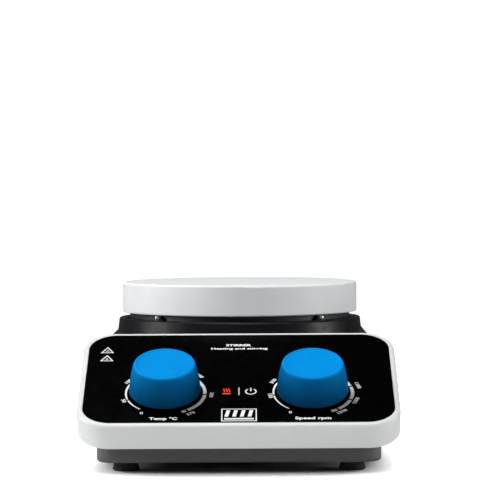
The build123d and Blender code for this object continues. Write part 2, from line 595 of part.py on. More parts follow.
with BuildPart() as rotor_shaft:
    pin(stir, [(0, 0)], SHAFT_R, 19.0, MAGNET_Z)
    chamfer(rotor_shaft.edges().filter_by(GeomType.CIRCLE), 0.4)
save(rotor_shaft, "rotor_shaft")

with BuildPart() as rotor_core:
    pin(stir, [(0, 0)], 12.5, CORE_Z, CORE_Z + CORE_H)
    pin(stir, [(0, 0)], SHAFT_R + 0.01, CORE_Z, CORE_Z + CORE_H, Mode.SUBTRACT)
save(rotor_core, "rotor_core")

with BuildPart() as magnet_carrier:
    pin(stir, [(0, 0)], 8.0, HUB_Z, YOKE_Z)
    slab(stir, (64, 20), 4, YOKE_Z, MAGNET_Z)
    pin(stir, [(0, 0)], SHAFT_R + 0.01, HUB_Z, MAGNET_Z, Mode.SUBTRACT)
    side_hole = Plane(origin=(0, STIR_Y, HUB_Z + 4), z_dir=(1, 0, 0))
    pin(side_hole, [(0, 0)], 1.5, SHAFT_R, 9.0, Mode.SUBTRACT)
save(magnet_carrier, "magnet_carrier")

with BuildPart() as carrier_set_screw:
    pin(side_hole, [(0, 0)], 1.48, SHAFT_R + 0.01, 7.6)
    pin(side_hole, [(0, 0)], 0.75, 6.2, 7.6, Mode.SUBTRACT)
save(carrier_set_screw, "carrier_set_screw")

with BuildPart() as drive_magnets:
    for x in (-21.5, 21.5):
        slab(stir, (18, 18), 2, MAGNET_Z, MAGNET_Z + MAGNET_H, (x, 0))
    magnet_tops = drive_magnets.faces().filter_by(lambda f: f.center().Z > MAGNET_Z + MAGNET_H - 0.1)
    chamfer(magnet_tops.edges(), 0.5)
save(drive_magnets, "drive_magnets")

# ---------------------------------------------------------------- power electronics

board = Plane.XY
with BuildPart() as main_board:
    slab(board, (112, 60), 2, MAIN_BOARD_Z, BOARD_TOP_Z, (0, MAIN_BOARD_Y))
    with BuildSketch(board.offset(MAIN_BOARD_Z)):
        with Locations((0, MAIN_BOARD_Y)):
            with GridLocations(*MAIN_BOARD_HOLES, 2, 2):
                Circle(1.3)
    extrude(amount=BOARD_T, mode=Mode.SUBTRACT)
    # relay, bridge rectifier, ribbon header and motor socket
    slab(board, (10, 15), 0.5, BOARD_TOP_Z, BOARD_TOP_Z + 15, (-4, 119.5))
    slab(board, (5, 16), 0.5, BOARD_TOP_Z, BOARD_TOP_Z + 11, (16, 96))
    slab(board, (20, 6), 0.5, BOARD_TOP_Z, BOARD_TOP_Z + 6, (0, 72.5))
    slab(board, (10, 6), 0.5, BOARD_TOP_Z, BOARD_TOP_Z + 6, (40, 72.5))
save(main_board, "main_board")

with BuildPart() as board_screws:
    for plane, spots, seat, length in (
        (board, [(x, MAIN_BOARD_Y + y) for x in (-50, 50) for y in (-26, 26)], BOARD_TOP_Z, -5.0),
        (panel, board_screw_spots, CONTROL_BOARD_N, 6.0),
    ):
        pin(plane, spots, 1.2, seat, seat + length)
        pin(plane, spots, 2.3, seat, seat + (1.6 if length < 0 else -1.6))
save(board_screws, "board_screws")

with BuildPart() as power_transformer:
    slab(board, (24, 30), 1, BOARD_TOP_Z, BOARD_TOP_Z + 24, (-29, 84))
    slab(board, (34, 20), 2, BOARD_TOP_Z + 2, BOARD_TOP_Z + 21, (-29, 84))
save(power_transformer, "power_transformer")

with BuildPart() as smoothing_capacitors:
    can_spots = [(0, 86), (0, 103)]
    pin(board, can_spots, 7.5, BOARD_TOP_Z, BOARD_TOP_Z + 20)
    fillet(smoothing_capacitors.faces().filter_by(lambda f: f.center().Z > BOARD_TOP_Z + 19).edges(), 1.0)
save(smoothing_capacitors, "smoothing_capacitors")

with BuildPart() as triac_heatsink:
    slab(board, (34, 4), 0.5, BOARD_TOP_Z, BOARD_TOP_Z + 26, (37, 84))
    with BuildSketch(board.offset(BOARD_TOP_Z)):
        with Locations((37, 91)):
            with GridLocations(5.6, 0, 6, 1):
                Rectangle(1.4, 10.4)
    extrude(amount=26)
    # the power switch device bolted to the heatsink's flat side
    slab(board, (10, 4.4), 0.3, BOARD_TOP_Z + 5, BOARD_TOP_Z + 20, (37, 79.8))
save(triac_heatsink, "triac_heatsink")

with BuildPart() as terminal_blocks:
    block_spots = [(-36, 117), (34, 117)]
    for x, y in block_spots:
        slab(board, (26, 9), 0.5, BOARD_TOP_Z, BOARD_TOP_Z + 9, (x, y))
        with BuildSketch(board.offset(BOARD_TOP_Z + 9)):
            with Locations((x, y)):
                with GridLocations(8, 0, 3, 1):
                    Circle(2.0)
        extrude(amount=-1.5, mode=Mode.SUBTRACT)
save(terminal_blocks, "terminal_blocks")

# ---------------------------------------------------------------- back wall

back = Plane(origin=(0, 0, BACK_ROW_Z), x_dir=(-1, 0, 0), z_dir=(0, 1, 0))
PIN_SPOTS = [(-INLET_X - 7, 3.5), (-INLET_X + 7, 3.5), (-INLET_X, 7.5)]
DRAWER_V = -9.5

with BuildPart() as mains_inlet:
    slab(back, (27, 30), 1, 116.0, BODY_BACK, (-INLET_X, 0))
    slab(back, (48, 32.4), 5, BODY_BACK, BODY_BACK + 1.8, (-INLET_X, 0))
    fillet(mains_inlet.faces().sort_by(Axis.Y)[-1].edges(), 0.6)
    slab(back, (24.4, 16.2), 3, 121.0, BODY_BACK + 1.8, (-INLET_X, 5.2), Mode.SUBTRACT)
    slab(back, (22.4, 7.4), 0.5, 118.5, BODY_BACK + 1.8, (-INLET_X, DRAWER_V), Mode.SUBTRACT)
    pin(back, [(-INLET_X - 20, 0), (-INLET_X + 20, 0)], 1.6, BODY_BACK, BODY_BACK + 1.8, Mode.SUBTRACT)
    for spot in PIN_SPOTS:
        slab(back, (2, 4), 0.2, 116.0, 121.0, spot, Mode.SUBTRACT)
save(mains_inlet, "mains_inlet")

with BuildPart() as inlet_pins:
    for spot in PIN_SPOTS:
        slab(back, (2, 4), 0.2, 109.0, 134.0, spot)
save(inlet_pins, "inlet_pins")

with BuildPart() as inlet_screws:
    ears = [(-INLET_X - 20, 0), (-INLET_X + 20, 0)]
    pin(back, ears, 1.5, 128.0, BODY_BACK + 1.8)
    pin(back, ears, 2.8, BODY_BACK + 1.8, REARMOST)
    pin(back, ears, 2.9, BACK_INNER - 2.4, BACK_INNER)
save(inlet_screws, "inlet_screws")

with BuildPart() as fuse_drawer:
    slab(back, (22, 7), 0.5, 119.0, BODY_BACK + 1.8, (-INLET_X, DRAWER_V))
    slab(back, (23.4, 8.4), 0.8, BODY_BACK + 1.8, REARMOST, (-INLET_X, DRAWER_V))
    # trough for the two fuses, open at the top, and a finger notch in the front
    slab(back, (20.6, 7), 0.3, 120.0, 133.0, (-INLET_X, DRAWER_V + 1.2), Mode.SUBTRACT)
    slab(back, (8, 1.2), 0.4, 139.0, REARMOST, (-INLET_X, DRAWER_V), Mode.SUBTRACT)
save(fuse_drawer, "fuse_drawer")

with BuildPart() as fuses:
    for y in (123.2, 129.6):
        lying = Plane(origin=(INLET_X, y, BACK_ROW_Z + DRAWER_V + 0.9), z_dir=(1, 0, 0))
        pin(lying, [(0, 0)], 2.4, -7.0, 7.0)
        pin(lying, [(0, 0)], 2.6, -10.0, -5.0)
        pin(lying, [(0, 0)], 2.6, 5.0, 10.0)
save(fuses, "fuses")

with BuildPart() as rocker_housing:
    slab(back, (12.8, 19.2), 0.5, 117.0, BODY_BACK, (-ROCKER_X, 0))
    slab(back, (15, 21.6), 1.2, BODY_BACK, BODY_BACK + 1.2, (-ROCKER_X, 0))
    slab(back, (10.2, 17.4), 0.5, 126.8, BODY_BACK + 1.2, (-ROCKER_X, 0), Mode.SUBTRACT)
    pivot = Plane(origin=(ROCKER_X, ROCKER_PIVOT_Y, BACK_ROW_Z), z_dir=(1, 0, 0))
    pin(pivot, [(0, 0)], 1.2 + RUNNING_GAP, -6.0, 6.0, Mode.SUBTRACT)
    for v in (-6.0, 0.0, 6.0):
        slab(back, (4.8, 0.8), 0.2, 110.0, 117.0, (-ROCKER_X, v))
save(rocker_housing, "rocker_housing")

with BuildPart() as power_rocker:
    # drawn in its "on" position, top edge in: x outwards, y up
    outwards = (0, cos(radians(ROCKER_TILT)), sin(radians(ROCKER_TILT)))
    tipped = Plane(origin=pivot.origin, x_dir=outwards, z_dir=(1, 0, 0))
    with BuildSketch(tipped.offset(-4.9)):
        with BuildLine():
            Polyline((5.4, -7.6), (4.2, 0), (5.4, 7.6), (-1.2, 7.6), (-4.2, 0), (-1.2, -7.6), (5.4, -7.6))
        make_face()
    extrude(amount=9.8)
    pin(tipped, [(0, 0)], 1.2, -5.9, 5.9)
save(power_rocker, "power_rocker")

with BuildPart() as probe_socket:
    probe = [(-PROBE_X, 0)]
    pin(back, probe, 7.4, 120.0, BODY_BACK)
    pin(back, probe, 9.5, BODY_BACK, BODY_BACK + 1.6)
    pin(back, probe, 6.2, 129.0, BODY_BACK + 1.6, Mode.SUBTRACT)
    with BuildSketch(back.offset(129.0)):
        with Locations((-PROBE_X, 0)):
            with PolarLocations(3.8, 5, 0, 180):
                Circle(0.9)
    extrude(amount=-4.0, mode=Mode.SUBTRACT)
    with BuildSketch(back.offset(BACK_INNER - 2.2)):
        with Locations((-PROBE_X, 0)):
            RegularPolygon(10.4, 6)
            Circle(7.5, mode=Mode.SUBTRACT)
    extrude(amount=2.2)
save(probe_socket, "probe_socket")

with BuildPart() as rod_socket:
    pin(Plane.XY, [(ROD_X, ROD_Y)], 8.0, 33.0, DECK_Z)
    pin(Plane.XY, [(ROD_X, ROD_Y)], 11.0, DECK_Z, DECK_Z + 1.6)
    fillet(rod_socket.faces().sort_by(Axis.Z)[-1].edges(), 0.6)
    pin(Plane.XY, [(ROD_X, ROD_Y)], 4.25, 36.1, DECK_Z + 1.6, Mode.SUBTRACT)
save(rod_socket, "rod_socket")

# ---------------------------------------------------------------- wiring

FORWARD = (0, -1, 0)
BACKWARD = (0, 1, 0)
DOWN = (0, 0, -1)
BLOCK_FRONT = (112.3, 22)  # y and z where a wire enters a terminal block

with BuildPart() as mains_leads:
    inlet_left = (INLET_X - 7, 108.6, BACK_ROW_Z + 3.5)
    inlet_right = (INLET_X + 7, 108.6, BACK_ROW_Z + 3.5)
    rocker_top = (ROCKER_X, 109.6, BACK_ROW_Z + 6)
    rocker_mid = (ROCKER_X, 109.6, BACK_ROW_Z)
    wire([inlet_left, (-45, 104, 40), (-46, 106, 30), (-44, *BLOCK_FRONT)], 1.3, FORWARD, BACKWARD)
    wire([inlet_right, (-19, 103, 50), (2, 104, 52), rocker_top], 1.3, FORWARD, BACKWARD)
    to_block = [(0, 105, 42.5), (-14, 106, 37), (-26, 107, 27), (-28, *BLOCK_FRONT)]
    wire([rocker_mid, *to_block], 1.3, FORWARD, BACKWARD)
save(mains_leads, "mains_leads")

with BuildPart() as heater_leads:
    for start_angle, end_x in ((78, 34), (102, 26)):
        x, y = polar(COIL_R, start_angle)
        to_block = [(end_x - 6, 100, 44), (end_x, 108, 30), (end_x, *BLOCK_FRONT)]
        wire([(x, STIR_Y + y, 65.8), (x + 4, 76, 54), *to_block], 1.1, DOWN, BACKWARD)
save(heater_leads, "heater_leads")

with BuildPart() as motor_leads:
    for i in range(3):
        end_x = 37.5 + 2.5 * i
        leaving_motor = (24 + 1.6 * i, 44 - 1.6 * i, 20)
        path_points = [leaving_motor, (31 + 2.4 * i, 54, 14), (end_x, 62, 15), (end_x, 69.3, 18)]
        wire(path_points, 0.8, (1, 1, 0), BACKWARD)
save(motor_leads, "motor_leads")

with BuildPart() as panel_ribbon:
    start = panel.from_local_coords((0, 18, CONTROL_BOARD_N - 5.1))
    with BuildLine(Plane.YZ) as path:
        bends = [(-64, 24), (-50, 15.5), (-30, 12.6), (10, 12.4), (48, 12.4), (62, 14.6)]
        Spline((start.Y, start.Z), *bends, (69.3, 18.5), tangents=[SLOPE_DOWN, (1, 0)])
    with BuildSketch(Plane(origin=path.line @ 0, x_dir=(1, 0, 0), z_dir=path.line % 0)):
        Rectangle(16, 0.9)
    sweep(path=path.line)
save(panel_ribbon, "panel_ribbon")
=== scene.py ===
"""Looks of the heated magnetic stirrer: finishes, the panel's print, studio light and camera."""

import json
import math

import bmesh
import bpy
from mathutils import Matrix, Vector


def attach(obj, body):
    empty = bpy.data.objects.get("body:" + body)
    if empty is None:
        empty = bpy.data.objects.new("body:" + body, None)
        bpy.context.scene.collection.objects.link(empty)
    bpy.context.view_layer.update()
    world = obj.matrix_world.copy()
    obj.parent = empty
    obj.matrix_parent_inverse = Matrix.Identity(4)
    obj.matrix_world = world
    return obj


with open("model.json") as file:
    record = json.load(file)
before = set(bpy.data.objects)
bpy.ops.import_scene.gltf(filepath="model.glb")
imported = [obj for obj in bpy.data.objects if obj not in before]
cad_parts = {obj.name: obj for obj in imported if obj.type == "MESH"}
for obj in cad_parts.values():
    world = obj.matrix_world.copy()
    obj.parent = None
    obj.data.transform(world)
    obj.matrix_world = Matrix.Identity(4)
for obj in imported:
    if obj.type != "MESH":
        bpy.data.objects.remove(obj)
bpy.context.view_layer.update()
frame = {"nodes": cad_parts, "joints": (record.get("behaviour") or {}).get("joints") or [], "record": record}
scene = bpy.context.scene
MM = 0.001

# ---------------------------------------------------------------- finishes

# sockets of Blender's Mix node when it mixes colours
MIX_FACTOR, MIX_FIRST, MIX_SECOND, MIX_RESULT = 0, 6, 7, 2
BEVEL_SAMPLES = 3
# samples of the mask that paints shade into colours
PAINTED_SHADE_SAMPLES = 8
EDGE_PATCH_MM = 6.0  # size of the patches that break up tinted edges
BAND_SCALE = 0.314  # gives the wave texture its band width in the scaled coordinates
DRIFT_MM = 18.0  # size of the slow changes in colour
GLOSS_MM = 5.0  # size of the changes in gloss
TONE_LAYER = "tone"  # each printed mark's brightness, read by the ink


class Finish:
    """A node material under construction, with helpers that take sizes in millimetres."""

    def __init__(self, name, roughness, metallic=0.0, specular=0.5):
        self.material = bpy.data.materials.new(name)
        self.material.use_nodes = True
        self.tree = self.material.node_tree
        self.shader = self.tree.nodes["Principled BSDF"]
        self.shader.inputs["Metallic"].default_value = metallic
        self.shader.inputs["Specular IOR Level"].default_value = specular
        self.shader.inputs["Roughness"].default_value = roughness
        self.where = self.node("ShaderNodeTexCoord").outputs["Object"]

    def node(self, kind, **inputs):
        made = self.tree.nodes.new(kind)
        for key, value in inputs.items():
            socket = made.inputs[key.replace("_", " ")]
            if isinstance(value, bpy.types.NodeSocket):
                self.tree.links.new(value, socket)
            else:
                socket.default_value = value
        return made

    def scaled(self, size_mm, along=(1, 1, 1)):
        """Object coordinates in units of size_mm, stretched by the along factors."""
        scale = [a / (size_mm * MM) for a in along]
        return self.node("ShaderNodeMapping", Vector=self.where, Scale=scale).outputs["Vector"]

    def noise(self, size_mm, detail=3.0, along=(1, 1, 1)):
        where = self.scaled(size_mm, along)
        made = self.node("ShaderNodeTexNoise", Vector=where, Scale=1.0, Detail=detail)
        return made.outputs["Fac"]

    def remap(self, value, low, high, start=0.3, end=0.7):
        """value from start to end becomes low to high, and is held at the ends."""
        made = self.node("ShaderNodeMapRange", Value=value)
        made.inputs["From Min"].default_value = start
        made.inputs["From Max"].default_value = end
        made.inputs["To Min"].default_value = low
        made.inputs["To Max"].default_value = high
        return made.outputs["Result"]

    def mix(self, factor, first, second):
        """A colour between first, at factor 0, and second, at factor 1."""
        made = self.tree.nodes.new("ShaderNodeMix")
        made.data_type = "RGBA"
        values = {MIX_FACTOR: factor, MIX_FIRST: first, MIX_SECOND: second}
        for index, value in values.items():
            if isinstance(value, bpy.types.NodeSocket):
                self.tree.links.new(value, made.inputs[index])
            else:
                made.inputs[index].default_value = value
        return made.outputs[MIX_RESULT]

    def edges(self, radius_mm):
        """1 on the piece's sharp edges, broken up by noise, and 0 elsewhere."""
        bevel = self.node("ShaderNodeBevel", Radius=radius_mm * MM)
        bevel.samples = BEVEL_SAMPLES
        flat = self.node("ShaderNodeNewGeometry").outputs["Normal"]
        dot = self.tree.nodes.new("ShaderNodeVectorMath")
        dot.operation = "DOT_PRODUCT"
        self.tree.links.new(bevel.outputs["Normal"], dot.inputs[0])
        self.tree.links.new(flat, dot.inputs[1])
        edge = self.remap(dot.outputs["Value"], 1.0, 0.0, 0.85, 0.99)
        patch = self.remap(self.noise(EDGE_PATCH_MM, 4.0), 0.1, 1.0)
        both = self.tree.nodes.new("ShaderNodeMath")
        both.operation = "MULTIPLY"
        self.tree.links.new(edge, both.inputs[0])
        self.tree.links.new(patch, both.inputs[1])
        return both.outputs[0]

    def painted_shade_mask(self, reach_mm):
        """1 where nothing stands within reach of the surface, falling towards 0 where other parts stand
        close; it sets where shade is painted into the colour.
        """
        made = self.node("ShaderNodeAmbientOcclusion", Distance=reach_mm * MM)
        made.samples = PAINTED_SHADE_SAMPLES
        return made.outputs["AO"]

    def stripes(self, pitch_mm, axis):
        made = self.tree.nodes.new("ShaderNodeTexWave")
        made.bands_direction = axis
        made.inputs["Scale"].default_value = BAND_SCALE
        self.tree.links.new(self.scaled(pitch_mm / 2), made.inputs["Vector"])
        return made.outputs["Fac"]

    def set(self, name, value):
        self.tree.links.new(value, self.shader.inputs[name])

    def bump(self, height, depth_mm, below=None):
        made = self.node("ShaderNodeBump", Height=height, Distance=depth_mm * MM)
        if below is not None:
            self.tree.links.new(below, made.inputs["Normal"])
        self.set("Normal", made.outputs["Normal"])
        return made.outputs["Normal"]


def shade(colour, factor):
    return (*[min(1.0, c * factor) for c in colour[:3]], 1.0)


def surface(
    name,
    colour,
    roughness,
    metallic=0.0,
    specular=0.5,
    grain=0.4,
    depth=0.008,
    drift=0.06,
    uneven=0.06,
    edge_wear_and_highlight=None,
    edge_tint_mm=0.5,
    along=(1, 1, 1),
    stripes=None,
    speckle=0.0,
    coat=0.0,
    ior=1.5,
    painted_shade=None,
):
    """The common recipe: grain, slow colour drift, uneven gloss, edges tinted to a given colour
    (edge wear, and a painted highlight on the blue knobs) and painted shade where parts stand close.

    stripes is (pitch in mm, axis, depth in mm, darkening), and the painted shade takes (reach in mm, shade).
    """
    f = Finish(name, roughness, metallic, specular)
    slow = f.remap(f.noise(DRIFT_MM, 4.0), 0.0, 1.0)
    tint = f.mix(slow, shade(colour, 1 - drift), shade(colour, 1 + drift))
    fine = f.noise(grain, 3.0, along)
    if speckle:
        spots = f.remap(f.noise(grain * 1.6, 2.0, along), 0.0, speckle)
        tint = f.mix(spots, tint, shade(colour, 2.2))
    normal = f.bump(fine, depth)
    if stripes:
        pitch, axis, groove, darkening = stripes
        wave = f.stripes(pitch, axis)
        tint = f.mix(f.remap(wave, darkening, 0.0, 0.1, 0.6), tint, shade(colour, 0.25))
        f.bump(wave, groove, normal)
    # edges tinted to a given colour: wear on most finishes, a painted highlight on the blue knobs
    if edge_wear_and_highlight:
        tint = f.mix(f.edges(edge_tint_mm), tint, (*edge_wear_and_highlight, 1.0))
    # painted shade: the colour is darkened where other parts stand within reach, standing in for shade
    if painted_shade:
        reach, dark = painted_shade
        tint = f.mix(f.remap(f.painted_shade_mask(reach), 1.0, 0.0, 0.5, 0.92), tint, shade(colour, dark))
    f.set("Base Color", tint)
    gloss = f.noise(GLOSS_MM, 5.0, along)
    f.set("Roughness", f.remap(gloss, max(0.03, roughness - uneven), roughness + uneven))
    f.shader.inputs["IOR"].default_value = ior
    f.shader.inputs["Coat Weight"].default_value = coat
    f.shader.inputs["Coat Roughness"].default_value = 0.15
    return f.material


def clear(name, colour, roughness):
    f = Finish(name, roughness)
    f.shader.inputs["Transmission Weight"].default_value = 0.9
    slow = f.remap(f.noise(3.0), 0.0, 1.0)
    f.set("Base Color", f.mix(slow, shade(colour, 0.9), shade(colour, 1.0)))
    f.bump(f.noise(1.5), 0.004)
    return f.material


def circuit_board(name):
    """Green solder mask over copper tracks, with tinned pads."""
    f = Finish(name, 0.35)
    cells = f.node("ShaderNodeTexVoronoi", Vector=f.scaled(2.6), Scale=1.0, Randomness=0.0)
    brick = f.node("ShaderNodeTexBrick", Vector=f.scaled(3.4), Scale=1.0, Mortar_Size=0.06)
    track = brick.outputs["Fac"]
    pad = f.remap(cells.outputs["Distance"], 1.0, 0.0, 0.16, 0.2)
    slow = f.remap(f.noise(20.0), 0.0, 1.0)
    mask = f.mix(slow, (0.008, 0.10, 0.035, 1), (0.014, 0.15, 0.05, 1))
    tracks = f.mix(track, mask, (0.03, 0.26, 0.09, 1))
    f.set("Base Color", f.mix(pad, tracks, (0.62, 0.6, 0.55, 1)))
    f.set("Metallic", pad)
    f.bump(track, 0.035)
    return f.material


def printed(name, colour, glow=0.0):
    """Ink whose brightness comes from each mark's own tone."""
    f = Finish(name, 0.45, specular=0.2)
    tone = f.tree.nodes.new("ShaderNodeAttribute")
    tone.attribute_name = TONE_LAYER
    grain = f.remap(f.noise(0.12, 2.0), 0.88, 1.0)
    ink = f.mix(tone.outputs["Fac"], (0.004, 0.004, 0.005, 1), (*colour, 1))
    value = f.mix(grain, shade(colour, 0.1), ink)
    f.set("Base Color", value)
    f.bump(f.noise(0.2), 0.003)
    if glow:
        f.set("Emission Color", value)
        f.shader.inputs["Emission Strength"].default_value = glow
    return f.material


MATERIALS = {
    "white_plastic": surface(
        "white_plastic", (0.64, 0.655, 0.65), 0.34, grain=0.9, depth=0.006, drift=0.015,
        specular=0.45,
    ),
    "dark_paint": surface(
        "dark_paint", (0.006, 0.0064, 0.008), 0.38, specular=0.15, grain=0.8, depth=0.005,
        drift=0.15, speckle=0.08, edge_wear_and_highlight=(0.05, 0.05, 0.055),
    ),
    # the grey paint gets painted shade where other parts stand within 30 mm
    "grey_paint": surface(
        "grey_paint", (0.19, 0.19, 0.192), 0.5, specular=0.25, grain=0.8, depth=0.03, drift=0.08,
        speckle=0.05, edge_wear_and_highlight=(0.28, 0.28, 0.28), painted_shade=(30.0, 0.45),
    ),
    "black_film": surface(
        "black_film", (0.0006, 0.0006, 0.0007), 0.22, specular=0.3, grain=0.35, depth=0.001,
        drift=0.3, uneven=0.06, ior=1.1,
    ),
    # the blue knobs get painted shade towards the panel, and their brighter blue edges are a painted
    # highlight
    "blue_plastic": surface(
        "blue_plastic", (0.0, 0.23, 0.62), 0.45, specular=0.1, grain=0.5, depth=0.006,
        drift=0.04, edge_wear_and_highlight=(0.0, 0.42, 0.9), ior=1.2, painted_shade=(150.0, 0.22), edge_tint_mm=0.3,
    ),
    "white_ceramic": surface(
        "white_ceramic", (0.76, 0.775, 0.785), 0.42, grain=1.1, depth=0.012, drift=0.025,
        specular=0.25, edge_wear_and_highlight=(0.66, 0.67, 0.66),
    ),
    "foot_rubber": surface(
        "foot_rubber", (0.03, 0.03, 0.031), 0.8, grain=0.3, depth=0.03, drift=0.15, specular=0.2,
    ),
    "black_rubber": surface(
        "black_rubber", (0.02, 0.02, 0.021), 0.8, grain=0.3, depth=0.03, drift=0.2, specular=0.2,
    ),
    "seal_silicone": surface(
        "seal_silicone", (0.42, 0.09, 0.05), 0.55, grain=0.5, depth=0.01, drift=0.08,
    ),
    "black_steel": surface(
        "black_steel", (0.018, 0.018, 0.02), 0.55, grain=0.5, depth=0.02, drift=0.25,
        edge_wear_and_highlight=(0.1, 0.1, 0.1),
    ),
    "steel": surface(
        "steel", (0.58, 0.58, 0.57), 0.3, 1.0, grain=0.6, depth=0.0008, drift=0.08,
        along=(1, 1, 3), edge_wear_and_highlight=(0.8, 0.8, 0.8),
    ),
    "stainless": surface(
        "stainless", (0.6, 0.59, 0.57), 0.26, 1.0, grain=0.8, depth=0.0008, drift=0.05,
        along=(3, 1, 1), edge_wear_and_highlight=(0.8, 0.8, 0.78),
    ),
    "lamination_steel": surface(
        "lamination_steel", (0.3, 0.3, 0.31), 0.4, 1.0, depth=0.01, drift=0.15,
        stripes=(0.5, "Z", 0.05, 0.7),
    ),
    "aluminium": surface(
        "aluminium", (0.72, 0.72, 0.73), 0.32, 1.0, grain=0.6, depth=0.001, drift=0.05,
        along=(1, 1, 3), edge_wear_and_highlight=(0.85, 0.85, 0.85),
    ),
    "brass": surface(
        "brass", (0.72, 0.52, 0.24), 0.28, 1.0, grain=0.4, depth=0.002, drift=0.1,
        edge_wear_and_highlight=(0.85, 0.7, 0.4),
    ),
    "nickel_magnet": surface(
        "nickel_magnet", (0.66, 0.64, 0.6), 0.16, 1.0, grain=0.6, depth=0.006, drift=0.06,
    ),
    "copper_winding": surface(
        "copper_winding", (0.55, 0.2, 0.06), 0.3, 0.8, depth=0.01, drift=0.12,
        stripes=(0.55, "Z", 0.14, 0.8), coat=0.5,
    ),
    "green_board": circuit_board("green_board"),
    "black_plastic": surface(
        "black_plastic", (0.016, 0.016, 0.018), 0.42, grain=0.35, depth=0.02, drift=0.2,
        edge_wear_and_highlight=(0.06, 0.06, 0.065), specular=0.4,
    ),
    "green_plastic": surface(
        "green_plastic", (0.03, 0.28, 0.1), 0.4, grain=0.5, depth=0.01, drift=0.08,
    ),
    "transformer_tape": surface(
        "transformer_tape", (0.62, 0.42, 0.05), 0.35, grain=0.8, depth=0.01, drift=0.1,
        stripes=(3.5, "Z", 0.06, 0.5),
    ),
    "capacitor_sleeve": surface(
        "capacitor_sleeve", (0.015, 0.022, 0.08), 0.25, grain=0.8, depth=0.01, drift=0.1,
        edge_wear_and_highlight=(0.3, 0.3, 0.34), edge_tint_mm=0.8,
    ),
    "clear_plastic": clear("clear_plastic", (0.92, 0.92, 0.92), 0.2),
    "fuse_glass": clear("fuse_glass", (0.88, 0.92, 0.9), 0.08),
    "ceramic_fibre": surface(
        "ceramic_fibre", (0.74, 0.72, 0.66), 0.9, grain=0.5, depth=0.2, drift=0.08,
        along=(1, 4, 1), specular=0.1, speckle=0.1,
    ),
    "mica_plate": surface(
        "mica_plate", (0.56, 0.52, 0.42), 0.5, grain=1.0, depth=0.02, drift=0.15, speckle=0.1,
    ),
    "blue_wire": surface("blue_wire", (0.02, 0.07, 0.36), 0.42, grain=0.5, depth=0.006, drift=0.06),
    "red_wire": surface("red_wire", (0.42, 0.04, 0.02), 0.48, grain=0.5, depth=0.006, drift=0.06),
    "grey_ribbon": surface(
        "grey_ribbon", (0.36, 0.36, 0.37), 0.45, grain=0.5, depth=0.006, drift=0.05,
        stripes=(1.27, "X", 0.3, 0.6),
    ),
}

for part in frame["record"]["subparts"]:
    piece = frame["nodes"][part["node"]]
    piece.data.materials.clear()
    piece.data.materials.append(MATERIALS[part["material_slot"]])

white_print = printed("white_print", (0.86, 0.87, 0.87))
red_print = printed("red_print", (0.9, 0.05, 0.02), 0.5)

# ---------------------------------------------------------------- printed marks

joints = {j["name"]: j for j in frame["joints"]}
temp_spot = Vector(joints["temp_dial_turn"]["pos_m"])
speed_spot = Vector(joints["speed_dial_turn"]["pos_m"])
outward = Vector(joints["temp_dial_turn"]["axis"]).normalized()
across = (speed_spot - temp_spot).normalized()
uphill = outward.cross(across)


def plane(origin, right, up):
    """The matrix of a drawing plane in millimetres."""
    normal = right.cross(up)
    basis = Matrix((right, up, normal)).transposed().to_4x4()
    return Matrix.Translation(origin) @ basis @ Matrix.Scale(MM, 4)


panel = plane((temp_spot + speed_spot) / 2, across, uphill)
temp_dial = plane(temp_spot, across, uphill)
speed_dial = plane(speed_spot, across, uphill)
INK = (-0.07, -0.02)  # the film's face is at -0.05, so marks stand 0.03 mm proud


ARC_STEP = 3  # degrees between the points of an arc
CAPITAL_SHARE = 0.7  # height of a capital as a share of the font's size


